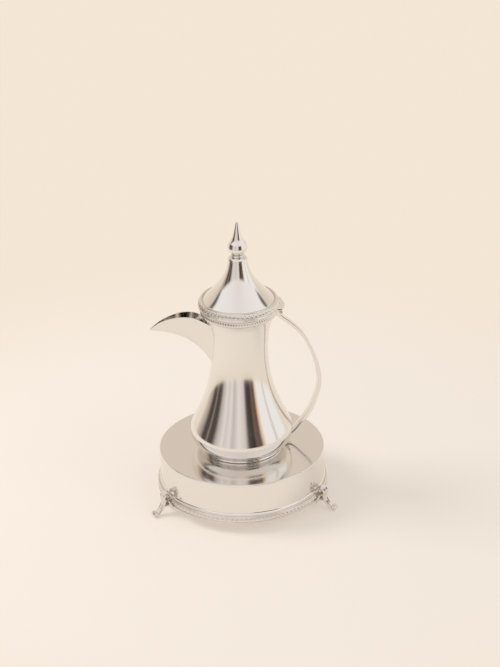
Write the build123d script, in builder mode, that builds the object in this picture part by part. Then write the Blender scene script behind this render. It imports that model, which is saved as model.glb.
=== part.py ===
from build123d import *
import math
import os

# Coffee pot with a hinged lid, standing on a low round footed stand.
# Millimetres, +Z up. The origin is on the common axis, on the surface under the feet.
# The handle and the hinge point along +X and the spout along -X.

os.makedirs("parts", exist_ok=True)

# Stand: wall, top plate, base plate and border
drum_radius = 85.0
drum_sheet = 1.2
stand_height = 54.0
top_thickness = 2.0
top_bevel = 0.8
wall_depth = 31.0
cove_reach = 1.6
cove_height = 2.5
border_height = 9.5
border_proud = 3.2
base_thickness = 2.0
fit_gap = 0.1

# Feet: reaches are measured outwards from the border
foot_angles = {"foot_left": 198.0, "foot_right": 322.0, "foot_back": 80.0}
foot_width = 8.0
leg_thickness = 2.6
knee_out = 6.0
knee_rise = 3.5
shin_out = 5.4
shin_rise = 3.0
ankle_out = 8.2
ankle_height = 8.0
toe_out = 16.3
toe_radius = 3.2
toe_flat = 0.4
toe_flare = 0.4
leaf_thickness = 2.0
leaf_spread = 7.5
leaf_height = 4.2
leaf_drop = 2.1
crest_height = 2.6
crest_reach = 3.2
crest_spread = 6.0
tab_thickness = 1.6
tab_inset = 21.6
tab_overhang = 6.8
screw_inset = 9.0
screw_radius = 1.5
screw_head_radius = 2.7
screw_head_height = 1.6

# Pot: heights are measured from the pot's own foot
lift_gap = 0.2
pot_sheet = 1.2
foot_ring_radius = 42.2
foot_ring_height = 2.6
foot_ring_width = 4.6
foot_ring_bulge = 1.0
pot_base_radius = 40.6
belly_radius = 52.0
belly_height = 20.0
neck_radius = 28.3
neck_height = 110.0
mouth_radius = 36.6
rim_height = 157.5
rim_band = 6.0
foot_band = 1.0
seam_height = 52.0
bottom_thickness = 1.0
collar_height = 6.0
collar_proud = 1.8
collar_drop = 1.0

# Spout: stations run from the body to the tip, each with its reach from the pot's axis,
# the height of the keel, the height of the lips and half the width between the lips
spout_stations = [
    (24.0, 89.0, 139.5, 12.4),
    (36.0, 110.0, 147.3, 11.0),
    (46.0, 121.6, 152.6, 9.0),
    (57.0, 130.2, 154.6, 6.9),
    (68.0, 135.5, 153.6, 4.7),
    (80.0, 139.3, 149.8, 2.3),
    (90.5, 141.6, 142.8, 0.5),
]
spout_sheet = 1.0
spout_bulge = 0.66
# The keel is this many sheets deep, and the sheet is at most this share of the half width near the tip
keel_share = 2.2
thinnest_share = 0.45
lip_clear = 4.0
pour_top = 142.0

# How far each curve of the pot's side runs straight on from its ends before it turns
belly_low_pull = 1.8
belly_side_pull = 8.0
waist_low_pull = 14.0
waist_high_pull = 54.0
neck_pull = 18.0
flare_pull = 10.5
# Shares of a step in radius at which the curve's control point lies
belly_turn = 0.58
mouth_turn = 0.32

# Handle: a flat strap bent to a bow, soldered under the rim and low on the belly;
# each point of the bow is reach and height of the strap's middle line
handle_width = 8.0
handle_thickness = 2.6
handle_root_inside = 3.6
handle_root_drop = 7.5
handle_bend_outside = 2.9
handle_bend_drop = 12.5
handle_bow = [(67.0, 116.0), (82.4, 71.0), (75.2, 37.0), (60.5, 15.5), (51.5, 6.6), (42.0, 5.4)]
foot_plate_width = 11.0
foot_plate_low = 3.2
foot_plate_high = 11.0
foot_plate_thickness = 1.0

# Lid: heights are measured from the pot's own foot
lid_gap = 0.3
lid_sheet = 1.0
lid_border_radius = 41.0
lid_border_height = 8.2
lid_border_inner = 36.4
# How far the border's outline steps in at its foot, bulges, and rounds over at its top
border_foot_inset = 0.8
border_bulge_inset = 0.3
border_bulge_share = 0.6
border_round = 1.4
border_inner_drop = 0.6
flange_thickness = 1.0
flange_inset = 1.6
lip_radius = 32.5
lip_depth = 2.5
lip_sheet = 0.9
cone_top_height = 208.6
cone_top_radius = 9.0
skirt_height = 6.6
# Where the control points of the cone's curve lie from its two ends
cone_low_in = 8.0
cone_low_up = 9.0
cone_top_out = 1.8
cone_top_down = 21.0
cap_radius = 9.9
cap_height = 3.6
cap_top_radius = 6.6
cap_edge = 1.0
cap_round_in = 0.7
cap_round_share = 0.62
bead_radius = 7.0
bead_height = 2.2
bead_bulge = 1.0
bead_neck_inset = 1.6
ball_radius = 9.8
ball_rise = 7.1
spire_height = 34.1
spire_tip_radius = 1.3
stud_radius = 1.5
stud_into_finial = 8.0
stud_below_nut = 0.8
nut_across = 5.5
nut_height = 2.4

# Hinge
hinge_reach = 42.0
hinge_drop = 9.5
knuckle_radius = 2.4
pin_radius = 0.9
pin_running_fit = 0.05
pin_head_radius = 1.5
pin_head_height = 0.7
barrel_length = 10.0
lid_knuckle_length = 3.6
side_clearance = 0.3
swing_clearance = 0.4
lug_reach = 46.0
lug_rise = 3.4
lug_overlap = 2.0
lug_round = 1.6
lug_width = 8.0
saddle_depth = 2.0
saddle_inset = 1.2
saddle_clearance = 0.2

pot_z = stand_height + lift_gap
flare_height = rim_height - rim_band
hinge_height = rim_height - hinge_drop


def on_pot(points):
    """Points given as reach and height above the pot's foot, moved to the height of the pot."""
    return [(reach, pot_z + height) for reach, height in points]


# Heights of the stand, worked out from its own sizes
plate_low = stand_height - top_thickness
wall_low = stand_height - wall_depth
cove_low = wall_low - cove_height
border_low = cove_low - border_height
border_inner = drum_radius - drum_sheet
border_outer = drum_radius + border_proud
cove_outer = drum_radius + cove_reach
base_radius = border_inner - fit_gap

# Stand top
with BuildPart() as stand_top:
    with BuildSketch(Plane.XY.offset(plate_low)):
        Circle(drum_radius)
    extrude(amount=top_thickness)
    chamfer(stand_top.faces().sort_by(Axis.Z)[-1].edges(), length=top_bevel)
stand_top.part.label = "stand_top"

# Stand wall with the cove at its foot
with BuildPart() as stand_drum:
    with BuildSketch(Plane.XZ):
        with BuildLine():
            Polyline(
                (border_inner, cove_low),
                (border_inner, plate_low),
                (drum_radius, plate_low),
                (drum_radius, wall_low),
            )
            cove = ThreePointArc(
                (drum_radius, wall_low),
                (drum_radius + cove_reach * 0.3, wall_low - cove_height * 0.7),
                (drum_radius + cove_reach, cove_low),
            )
            Line(cove @ 1, (border_inner, cove_low))
        make_face()
    revolve(axis=Axis.Z)
stand_drum.part.label = "stand_drum"

# Border band, half round on its outside
with BuildPart() as stand_border:
    with BuildSketch(Plane.XZ):
        with BuildLine():
            Polyline(
                (drum_radius + cove_reach, cove_low),
                (border_inner, cove_low),
                (border_inner, border_low),
                (drum_radius + cove_reach, border_low),
            )
            ThreePointArc(
                (drum_radius + cove_reach, border_low),
                (border_outer, border_low + border_height / 2),
                (drum_radius + cove_reach, cove_low),
            )
        make_face()
    revolve(axis=Axis.Z)
stand_border.part.label = "stand_border"

# Base plate inside the border, tapped for the feet's screws
screw_reach = border_inner - screw_inset
with BuildPart() as stand_base:
    with BuildSketch(Plane.XY.offset(border_low)):
        Circle(base_radius)
        for angle in foot_angles.values():
            with PolarLocations(screw_reach, 1, start_angle=angle):
                Circle(screw_radius + fit_gap / 2, mode=Mode.SUBTRACT)
    extrude(amount=base_thickness)
stand_base.part.label = "stand_base"


def foot_plane(angle):
    """Upright plane through the stand's axis, with its first axis along the foot's reach."""
    turn = math.radians(angle)
    reach = Vector(math.cos(turn), math.sin(turn), 0)
    return Plane(origin=(0, 0, 0), x_dir=reach, z_dir=reach.cross(Vector(0, 0, 1)))


def make_foot(angle):
    """Cast leg: crest on the border, bowed knee and shin, toe, two side leaves and a tab."""
    toe_reach = border_outer + toe_out
    toe_middle = (toe_reach, toe_radius - toe_flat)
    leg_points = [
        (cove_outer + crest_reach / 2, cove_low + crest_height / 2),
        (border_outer + knee_out / 2, cove_low + knee_rise),
        (border_outer + knee_out, cove_low),
        (border_outer + shin_out, border_low + shin_rise),
        (border_outer + ankle_out, ankle_height),
        (toe_reach - toe_radius, toe_radius + leg_thickness / 2),
        toe_middle,
    ]
    with BuildPart() as foot:
        with BuildSketch(foot_plane(angle)):
            with BuildLine():
                leg = Spline(*leg_points)
            trace(leg, line_width=leg_thickness)
            # The knee is cast solid down to the border's edge
            with BuildLine():
                Polyline(
                    leg_points[0],
                    leg_points[1],
                    leg_points[2],
                    (border_outer + fit_gap, cove_low - knee_rise / 2),
                    (border_outer + fit_gap, cove_low),
                    close=True,
                )
            make_face()
        extrude(amount=foot_width / 2, both=True)
        with BuildSketch(foot_plane(angle)):
            with Locations(toe_middle):
                Circle(toe_radius)
        extrude(amount=foot_width / 2 + toe_flare, both=True)
        # Side leaves: a curved strip round the border's lower edge
        leaf_radius = border_outer + fit_gap
        with BuildSketch(Plane.XY.offset(border_low - leaf_drop)):
            with BuildLine():
                start = Vector(leaf_radius, 0).rotate(Axis.Z, angle - leaf_spread)
                middle = Vector(leaf_radius, 0).rotate(Axis.Z, angle)
                end = Vector(leaf_radius, 0).rotate(Axis.Z, angle + leaf_spread)
                crown = Vector(leaf_radius + 2 * leaf_thickness, 0).rotate(Axis.Z, angle)
                ThreePointArc(start, middle, end)
                ThreePointArc(end, crown, start)
            make_face()
        extrude(amount=leaf_height)
        # Crest: a curved strip on the border's top, round the stand's wall
        crest_inner = cove_outer + fit_gap
        crest_outer = crest_inner + crest_reach
        with BuildSketch(Plane.XY.offset(cove_low + fit_gap)):
            with BuildLine():
                start = Vector(crest_inner, 0).rotate(Axis.Z, angle - crest_spread)
                middle = Vector(crest_inner, 0).rotate(Axis.Z, angle)
                end = Vector(crest_inner, 0).rotate(Axis.Z, angle + crest_spread)
                crown = Vector(crest_outer + crest_reach / 4, 0).rotate(Axis.Z, angle)
                ThreePointArc(start, middle, end)
                ThreePointArc(end, crown, start)
            make_face()
        extrude(amount=crest_height)
        # Tab under the border and the base plate
        with BuildSketch(Plane.XY.offset(border_low - tab_thickness)):
            tab_middle = border_outer + (tab_overhang - tab_inset) / 2
            with PolarLocations(tab_middle, 1, start_angle=angle):
                Rectangle(tab_inset + tab_overhang, foot_width)
            with PolarLocations(screw_reach, 1, start_angle=angle):
                Circle(screw_radius + fit_gap, mode=Mode.SUBTRACT)
        extrude(amount=tab_thickness)
        # Room for the border, for the wall above it, and the flat under the toe
        with BuildSketch(Plane.XY.offset(border_low)):
            Circle(border_outer + fit_gap / 2)
        extrude(amount=border_height + fit_gap, mode=Mode.SUBTRACT)
        with BuildSketch(Plane.XY.offset(cove_low)):
            Circle(cove_outer + fit_gap)
        extrude(amount=stand_height, mode=Mode.SUBTRACT)
        with BuildSketch(Plane.XY):
            Circle(toe_reach + 3 * toe_radius)
        extrude(amount=-3 * toe_radius, mode=Mode.SUBTRACT)
    return foot.part


feet = {}
for foot_name, foot_angle in foot_angles.items():
    feet[foot_name] = make_foot(foot_angle)
    feet[foot_name].label = foot_name

# Foot screws, one through each tab into the base plate
with BuildPart() as foot_screws:
    for angle in foot_angles.values():
        with BuildSketch(Plane.XY.offset(border_low - tab_thickness)):
            with PolarLocations(screw_reach, 1, start_angle=angle):
                Circle(screw_head_radius)
        extrude(amount=-screw_head_height)
        with BuildSketch(Plane.XY.offset(border_low - tab_thickness)):
            with PolarLocations(screw_reach, 1, start_angle=angle):
                Circle(screw_radius)
        extrude(amount=tab_thickness + base_thickness)
foot_screws.part.label = "foot_screws"


def pot_wall_line():
    """Middle line of the pot's sheet from the foot to the rim, drawn in the current line context."""
    band_top = foot_ring_height + foot_band
    low = Line(*on_pot([(pot_base_radius, foot_ring_height), (pot_base_radius, band_top)]))
    turn_out = pot_base_radius + belly_turn * (belly_radius - pot_base_radius)
    belly_points = [
        (turn_out, band_top + belly_low_pull),
        (belly_radius, belly_height - belly_side_pull),
        (belly_radius, belly_height),
    ]
    belly = Bezier(low @ 1, *on_pot(belly_points))
    waist_points = [
        (belly_radius, belly_height + waist_low_pull),
        (neck_radius, neck_height - waist_high_pull),
        (neck_radius, neck_height),
    ]
    waist = Bezier(belly @ 1, *on_pot(waist_points))
    flare_points = [
        (neck_radius, neck_height + neck_pull),
        (neck_radius + mouth_turn * (mouth_radius - neck_radius), flare_height - flare_pull),
        (mouth_radius, flare_height),
    ]
    flare = Bezier(waist @ 1, *on_pot(flare_points))
    rim = Line(flare @ 1, on_pot([(mouth_radius, rim_height)])[0])
    return [low, belly, waist, flare, rim]


# The pot's whole outer form, used to trim what is soldered to it
with BuildPart() as pot_form:
    with BuildSketch(Plane.XZ):
        with BuildLine() as outline:
            pot_wall_line()
            wall_edges = outline.edges()
            closing_points = [
                (mouth_radius, rim_height),
                (0, rim_height),
                (0, foot_ring_height),
                (pot_base_radius, foot_ring_height),
            ]
            Polyline(*on_pot(closing_points))
        make_face()
        trace(wall_edges, line_width=pot_sheet)
    revolve(axis=Axis.Z)


def spout_section(reach, keel, lips, half_width):
    """Upright section of the beak: straight across the lips, two bowed sides down to the keel."""
    middle = (keel + lips) / 2
    with BuildSketch(Plane(origin=(-reach, 0, pot_z), x_dir=(0, 1, 0), z_dir=(1, 0, 0))) as section:
        with BuildLine():
            Line((-half_width, lips), (half_width, lips))
            ThreePointArc((half_width, lips), (half_width * spout_bulge, middle), (0, keel))
            ThreePointArc((0, keel), (-half_width * spout_bulge, middle), (-half_width, lips))
        make_face()
    return section.sketch


# Outside and inside of the beak as lofts through the same stations
with BuildPart() as spout_form:
    loft([spout_section(*station) for station in spout_stations])
inner_sections = []
for reach, keel, lips, half_width in spout_stations[:-1]:
    slim = min(spout_sheet, thinnest_share * half_width)
    widen = 1 + lip_clear / (lips - keel)
    inner_keel = keel + keel_share * slim
    inner_sections.append(spout_section(reach, inner_keel, lips + lip_clear, (half_width - slim) * widen))
with BuildPart() as spout_hollow:
    loft(inner_sections)

with BuildPart() as spout:
    add(spout_form.part)
    add(spout_hollow.part, mode=Mode.SUBTRACT)
    add(pot_form.part, mode=Mode.SUBTRACT)
spout.part.label = "spout"

# Pouring opening: the beak's hollow below the collar, on the spout's side only
with BuildPart() as pour_opening:
    add(spout_hollow.part)
    with BuildSketch(Plane.XY.offset(pot_z)):
        Rectangle(4 * belly_radius, 4 * belly_radius)
    extrude(amount=pour_top, mode=Mode.INTERSECT)

with BuildPart() as pot_wall:
    with BuildSketch(Plane.XZ):
        with BuildLine() as wall_line:
            pot_wall_line()
        trace(wall_line.edges(), line_width=pot_sheet)
    revolve(axis=Axis.Z)
    add(pour_opening.part, mode=Mode.SUBTRACT)

# The body is soldered from a belly and a neck, with a polished seam at the waist
seam_plane = Plane.XY.offset(pot_z + seam_height)
with BuildPart() as pot_body:
    add(pot_wall.part)
    split(bisect_by=seam_plane, keep=Keep.BOTTOM)
pot_body.part.label = "pot_body"

with BuildPart() as pot_neck:
    add(pot_wall.part)
    split(bisect_by=seam_plane, keep=Keep.TOP)
pot_neck.part.label = "pot_neck"

with BuildPart() as pot_bottom:
    with BuildSketch(Plane.XY.offset(pot_z + foot_ring_height)):
        Circle(pot_base_radius - pot_sheet / 2)
    extrude(amount=bottom_thickness)
pot_bottom.part.label = "pot_bottom"

with BuildPart() as base_ring:
    with BuildSketch(Plane.XZ):
        with BuildLine():
            ring_inner = foot_ring_radius - foot_ring_width
            ring_edge = foot_ring_radius - foot_ring_bulge
            Polyline(*on_pot([
                (ring_edge, foot_ring_height),
                (ring_inner, foot_ring_height),
                (ring_inner, 0),
                (ring_edge, 0),
            ]))
            ThreePointArc(*on_pot([
                (ring_edge, 0),
                (foot_ring_radius, foot_ring_height / 2),
                (ring_edge, foot_ring_height),
            ]))
        make_face()
    revolve(axis=Axis.Z)
base_ring.part.label = "base_ring"

# Collar moulding round the mouth
collar_inner = mouth_radius + pot_sheet / 2
collar_high = rim_height - collar_drop
collar_low = collar_high - collar_height
with BuildPart() as mouth_collar:
    with BuildSketch(Plane.XZ):
        with BuildLine():
            Line(*on_pot([(collar_inner, collar_low), (collar_inner, collar_high)]))
            ThreePointArc(*on_pot([
                (collar_inner, collar_high),
                (collar_inner + collar_proud, (collar_low + collar_high) / 2),
                (collar_inner, collar_low),
            ]))
        make_face()
    revolve(axis=Axis.Z)
    add(pot_form.part, mode=Mode.SUBTRACT)
mouth_collar.part.label = "mouth_collar"

# Plate on the belly under the lower end of the strap, formed to the pot's side
with BuildPart() as handle_foot:
    with BuildSketch(Plane.XZ):
        trace(wall_edges, line_width=pot_sheet + 2 * foot_plate_thickness)
    revolve(axis=Axis.Z)
    with BuildSketch(Plane.XY.offset(pot_z + foot_plate_low)):
        with Locations((belly_radius, 0)):
            Rectangle(2 * (belly_radius - neck_radius), foot_plate_width)
    extrude(amount=foot_plate_high - foot_plate_low, mode=Mode.INTERSECT)
    add(pot_form.part, mode=Mode.SUBTRACT)
handle_foot.part.label = "handle_foot"

# Handle strap
handle_line = [
    (mouth_radius - handle_root_inside, rim_height - handle_root_drop),
    (mouth_radius + handle_bend_outside, rim_height - handle_bend_drop),
    *handle_bow,
]
with BuildPart() as handle:
    with BuildSketch(Plane.XZ):
        with BuildLine():
            bow = Spline(*on_pot(handle_line))
        trace(bow, line_width=handle_thickness)
    extrude(amount=handle_width / 2, both=True)
    for neighbour in (pot_form, mouth_collar, handle_foot):
        add(neighbour.part, mode=Mode.SUBTRACT)
handle.part.label = "handle"

# Hinge: saddle with two knuckles on the pot, lug with the middle knuckle on the lid
hinge_point = (hinge_reach, pot_z + hinge_height)
pot_knuckle_length = (barrel_length - lid_knuckle_length) / 2 - side_clearance
saddle_inner = collar_inner + saddle_inset
saddle_top = collar_low - saddle_clearance
saddle_low = hinge_height - knuckle_radius - saddle_depth


def hinge_slice(width, centre_y):
    """Upright plane across the hinge at one place along the barrel, facing along -Y."""
    return Plane.XZ.offset(-(centre_y + width / 2))


knuckle_y = lid_knuckle_length / 2 + side_clearance + pot_knuckle_length / 2
with BuildPart() as hinge_saddle:
    for side in (-1, 1):
        with BuildSketch(hinge_slice(pot_knuckle_length, side * knuckle_y)):
            with BuildLine():
                Polyline(*on_pot([
                    (saddle_inner, saddle_top),
                    (hinge_reach, saddle_top),
                    (hinge_reach, saddle_low),
                    (saddle_inner, hinge_height - knuckle_radius),
                ]), close=True)
            make_face()
            with Locations(hinge_point):
                Circle(knuckle_radius)
        extrude(amount=pot_knuckle_length)
    with BuildSketch(hinge_slice(barrel_length, 0)):
        with BuildLine():
            bridge_reach = hinge_reach - knuckle_radius - swing_clearance
            Polyline(*on_pot([
                (saddle_inner, saddle_top),
                (bridge_reach, saddle_top),
                (bridge_reach, saddle_low),
                (saddle_inner, hinge_height - knuckle_radius),
            ]), close=True)
        make_face()
    extrude(amount=barrel_length)
    with BuildSketch(hinge_slice(barrel_length, 0)):
        with Locations(hinge_point):
            Circle(pin_radius)
    extrude(amount=barrel_length, mode=Mode.SUBTRACT)
    add(handle.part, mode=Mode.SUBTRACT)
    add(mouth_collar.part, mode=Mode.SUBTRACT)
    add(pot_form.part, mode=Mode.SUBTRACT)
hinge_saddle.part.label = "hinge_saddle"

with BuildPart() as hinge_pin:
    with BuildSketch(hinge_slice(barrel_length, 0)):
        with Locations(hinge_point):
            Circle(pin_radius)
    extrude(amount=barrel_length)
    for face_y in (-barrel_length / 2 - pin_head_height, barrel_length / 2):
        with BuildSketch(hinge_slice(pin_head_height, face_y + pin_head_height / 2)):
            with Locations(hinge_point):
                Circle(pin_head_radius)
        extrude(amount=pin_head_height)
hinge_pin.part.label = "hinge_pin"

# Lid: everything stands on the seat plane just above the rim
seat = rim_height + lid_gap
flange_high = seat + flange_thickness
flange_radius = lid_border_radius - flange_inset
with BuildPart() as lid_flange:
    with BuildSketch(Plane.XZ):
        with BuildLine():
            Polyline(*on_pot([
                (lip_radius - lip_sheet, seat - lip_depth),
                (lip_radius, seat - lip_depth),
                (lip_radius, seat),
                (flange_radius, seat),
                (flange_radius, flange_high),
                (lip_radius - lip_sheet, flange_high),
            ]), close=True)
        make_face()
    revolve(axis=Axis.Z)
lid_flange.part.label = "lid_flange"

border_high = flange_high + lid_border_height
border_bulge_radius = lid_border_radius - border_bulge_inset
with BuildPart() as lid_border:
    with BuildSketch(Plane.XZ):
        with BuildLine():
            Polyline(*on_pot([
                (lid_border_inner + border_round, border_high),
                (lid_border_inner, border_high - border_inner_drop),
                (lid_border_inner, flange_high),
                (lid_border_radius - border_foot_inset, flange_high),
            ]))
            ThreePointArc(*on_pot([
                (lid_border_radius - border_foot_inset, flange_high),
                (border_bulge_radius, flange_high + border_bulge_share * lid_border_height),
                (lid_border_inner + border_round, border_high),
            ]))
        make_face()
    revolve(axis=Axis.Z)
lid_border.part.label = "lid_border"

skirt_radius = lid_border_inner - lid_sheet / 2
with BuildPart() as lid_shell:
    with BuildSketch(Plane.XZ):
        with BuildLine() as cone_line:
            skirt = Line(*on_pot([(skirt_radius, flange_high), (skirt_radius, flange_high + skirt_height)]))
            cone_points = [
                (skirt_radius - cone_low_in, flange_high + skirt_height + cone_low_up),
                (cone_top_radius + cone_top_out, cone_top_height - cone_top_down),
                (cone_top_radius, cone_top_height),
            ]
            Bezier(skirt @ 1, *on_pot(cone_points))
        trace(cone_line.edges(), line_width=lid_sheet)
    revolve(axis=Axis.Z)
    with BuildSketch(Plane.XY.offset(pot_z + cone_top_height)):
        Circle(lid_border_radius)
    extrude(amount=cap_height, mode=Mode.SUBTRACT)
lid_shell.part.label = "lid_shell"

cap_high = cone_top_height + cap_height
with BuildPart() as lid_cap:
    with BuildSketch(Plane.XZ):
        with BuildLine():
            Polyline(*on_pot([
                (cap_top_radius, cap_high),
                (stud_radius, cap_high),
                (stud_radius, cone_top_height),
                (cap_radius, cone_top_height),
                (cap_radius, cone_top_height + cap_edge),
            ]))
            ThreePointArc(*on_pot([
                (cap_radius, cone_top_height + cap_edge),
                (cap_radius - cap_round_in, cone_top_height + cap_round_share * cap_height),
                (cap_top_radius, cap_high),
            ]))
        make_face()
    revolve(axis=Axis.Z)
lid_cap.part.label = "lid_cap"

bead_high = cap_high + bead_height
with BuildPart() as finial_bead:
    with BuildSketch(Plane.XZ):
        with BuildLine():
            Polyline(*on_pot([
                (bead_radius - bead_bulge, bead_high),
                (stud_radius, bead_high),
                (stud_radius, cap_high),
                (bead_radius - bead_bulge, cap_high),
            ]))
            ThreePointArc(*on_pot([
                (bead_radius - bead_bulge, cap_high),
                (bead_radius, cap_high + bead_height / 2),
                (bead_radius - bead_bulge, bead_high),
            ]))
        make_face()
    revolve(axis=Axis.Z)
finial_bead.part.label = "finial_bead"

ball_middle = bead_high + ball_rise
neck_width = bead_radius - bead_neck_inset
with BuildPart() as finial:
    with BuildSketch(Plane.XZ):
        with BuildLine():
            ball_points = [
                (neck_width, bead_high),
                (1.11 * ball_radius, bead_high + 0.31 * ball_radius),
                (1.08 * ball_radius, ball_middle + 0.31 * ball_radius),
                (0.80 * ball_radius, ball_middle + 0.60 * ball_radius),
            ]
            ball = Bezier(*on_pot(ball_points))
            spire_points = [
                (0.48 * ball_radius, ball_middle + 1.02 * ball_radius),
                (0.40 * ball_radius, ball_middle + 1.30 * ball_radius),
                (spire_tip_radius, bead_high + spire_height),
            ]
            spire = Bezier(ball @ 1, *on_pot(spire_points))
            Polyline(
                spire @ 1,
                *on_pot([
                    (0, bead_high + spire_height),
                    (0, bead_high + stud_into_finial),
                    (stud_radius, bead_high + stud_into_finial),
                    (stud_radius, bead_high),
                    (neck_width, bead_high),
                ]),
            )
        make_face()
    revolve(axis=Axis.Z)
finial.part.label = "finial"

stud_low = cone_top_height - nut_height - stud_below_nut
with BuildPart() as finial_stud:
    with BuildSketch(Plane.XY.offset(pot_z + stud_low)):
        Circle(stud_radius)
    extrude(amount=bead_high + stud_into_finial - stud_low)
finial_stud.part.label = "finial_stud"

with BuildPart() as finial_nut:
    with BuildSketch(Plane.XY.offset(pot_z + cone_top_height - nut_height)):
        RegularPolygon(radius=nut_across / 2, side_count=6, major_radius=False)
        Circle(stud_radius, mode=Mode.SUBTRACT)
    extrude(amount=nut_height)
finial_nut.part.label = "finial_nut"

# Lug: wide cast leaf outside the border, narrowing to the middle knuckle
lug_inner = collar_inner + collar_proud + swing_clearance
lug_low = hinge_height + knuckle_radius + swing_clearance
lug_top = seat + lug_rise
lug_base = lid_border_inner + lug_overlap
with BuildPart() as hinge_lug:
    with BuildSketch(hinge_slice(lug_width, 0)):
        with BuildLine():
            outer = Spline(*on_pot([
                (lug_base, lug_top),
                (lug_reach - lug_round, lug_top - lug_round),
                (lug_reach, (lug_top + lug_low) / 2),
                (hinge_reach + lug_overlap, lug_low),
            ]))
            Polyline(
                outer @ 1,
                *on_pot([(lug_inner, lug_low), (lug_inner, seat), (lug_base, seat)]),
                outer @ 0,
            )
        make_face()
    extrude(amount=lug_width)
    with BuildSketch(hinge_slice(lug_width, 0)):
        with Locations(hinge_point):
            Circle(knuckle_radius + swing_clearance)
    extrude(amount=lug_width, mode=Mode.SUBTRACT)
    with BuildSketch(hinge_slice(lid_knuckle_length, 0)):
        with BuildLine():
            Polyline(*on_pot([
                (hinge_reach - knuckle_radius, hinge_height),
                (hinge_reach + knuckle_radius, hinge_height),
                (hinge_reach + knuckle_radius, lug_low + lug_overlap),
                (hinge_reach - knuckle_radius, lug_low + lug_overlap),
            ]), close=True)
        make_face()
        with Locations(hinge_point):
            Circle(knuckle_radius)
    extrude(amount=lid_knuckle_length)
    with BuildSketch(hinge_slice(lug_width, 0)):
        with Locations(hinge_point):
            Circle(pin_radius + pin_running_fit)
    extrude(amount=lug_width, mode=Mode.SUBTRACT)
    add(lid_border.part, mode=Mode.SUBTRACT)
    add(lid_flange.part, mode=Mode.SUBTRACT)
hinge_lug.part.label = "hinge_lug"

pieces = [
    stand_top.part,
    stand_drum.part,
    stand_border.part,
    stand_base.part,
    *feet.values(),
    foot_screws.part,
    pot_body.part,
    pot_neck.part,
    pot_bottom.part,
    base_ring.part,
    mouth_collar.part,
    spout.part,
    handle.part,
    handle_foot.part,
    hinge_saddle.part,
    hinge_pin.part,
    lid_shell.part,
    lid_border.part,
    lid_flange.part,
    lid_cap.part,
    finial_bead.part,
    finial.part,
    finial_stud.part,
    finial_nut.part,
    hinge_lug.part,
]
for piece in pieces:
    export_step(piece, "parts/" + piece.label + ".step")
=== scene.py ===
import math

import bmesh
import bpy
from bpy.props import FloatProperty, FloatVectorProperty, IntProperty, PointerProperty
from mathutils import Matrix, Vector


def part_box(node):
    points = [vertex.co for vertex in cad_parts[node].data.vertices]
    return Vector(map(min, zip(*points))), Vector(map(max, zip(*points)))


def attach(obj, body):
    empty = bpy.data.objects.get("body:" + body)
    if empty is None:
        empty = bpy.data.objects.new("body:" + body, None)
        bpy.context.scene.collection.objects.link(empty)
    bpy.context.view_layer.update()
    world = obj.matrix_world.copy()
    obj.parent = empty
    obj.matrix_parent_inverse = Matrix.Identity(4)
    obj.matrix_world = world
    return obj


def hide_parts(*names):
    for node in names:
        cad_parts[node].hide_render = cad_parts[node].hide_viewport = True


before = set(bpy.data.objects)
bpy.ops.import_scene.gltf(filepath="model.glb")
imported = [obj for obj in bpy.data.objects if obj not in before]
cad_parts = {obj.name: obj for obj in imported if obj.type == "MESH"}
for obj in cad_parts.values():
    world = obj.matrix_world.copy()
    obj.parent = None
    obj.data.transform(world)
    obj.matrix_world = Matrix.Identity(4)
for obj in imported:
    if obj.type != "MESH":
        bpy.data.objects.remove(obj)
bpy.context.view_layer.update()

bl_info = {
    "name": "Silver Coffee Pot on a Footed Stand",
    "version": (1, 0, 0),
    "blender": (4, 5, 0),
    "location": "View3D > Sidebar > Coffee Pot",
    "description": "Builds a silver-plated coffee pot with a hinged lid on a low footed stand",
    "category": "Add Mesh",
}

MM = 0.001

# Heights that the frame gives, in millimetres
POT_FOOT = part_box("base_ring")[0].z / MM
STAND_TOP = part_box("stand_top")[1].z / MM
BORDER_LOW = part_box("stand_border")[0].z / MM
BORDER_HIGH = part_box("stand_border")[1].z / MM
BORDER_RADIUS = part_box("stand_border")[1].x / MM
DRUM_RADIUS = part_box("stand_top")[1].x / MM
POT_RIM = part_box("pot_neck")[1].z / MM
COLLAR_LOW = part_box("mouth_collar")[0].z / MM
COLLAR_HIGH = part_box("mouth_collar")[1].z / MM
LID_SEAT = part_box("lid_border")[0].z / MM
LID_BORDER_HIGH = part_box("lid_border")[1].z / MM
CAP_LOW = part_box("lid_cap")[0].z / MM
CAP_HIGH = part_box("lid_cap")[1].z / MM
BEAD_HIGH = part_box("finial_bead")[1].z / MM
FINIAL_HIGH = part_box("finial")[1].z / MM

# Sizes of the sheet and of the turned forms, in millimetres
SHEET = 1.2
LID_SHEET = 1.0
BASE_RADIUS = 40.6
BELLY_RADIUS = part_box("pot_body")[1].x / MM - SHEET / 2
BELLY_HEIGHT = 20.0
NECK_RADIUS = 28.3
NECK_HEIGHT = 110.0
MOUTH_RADIUS = 36.6
FLARE_HEIGHT = 151.5
FOOT_BAND = 1.0
LOW_PULL, BELLY_PULL = 1.8, 8.0
WAIST_LOW_PULL, WAIST_HIGH_PULL = 14.0, 54.0
NECK_PULL, FLARE_PULL = 18.0, 10.5
BELLY_TURN, MOUTH_TURN = 0.58, 0.32
FOOT_RING = 2.6
CONE_TOP_RADIUS = 9.0
SMOOTH_TURNS = 256


# Outlines

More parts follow.
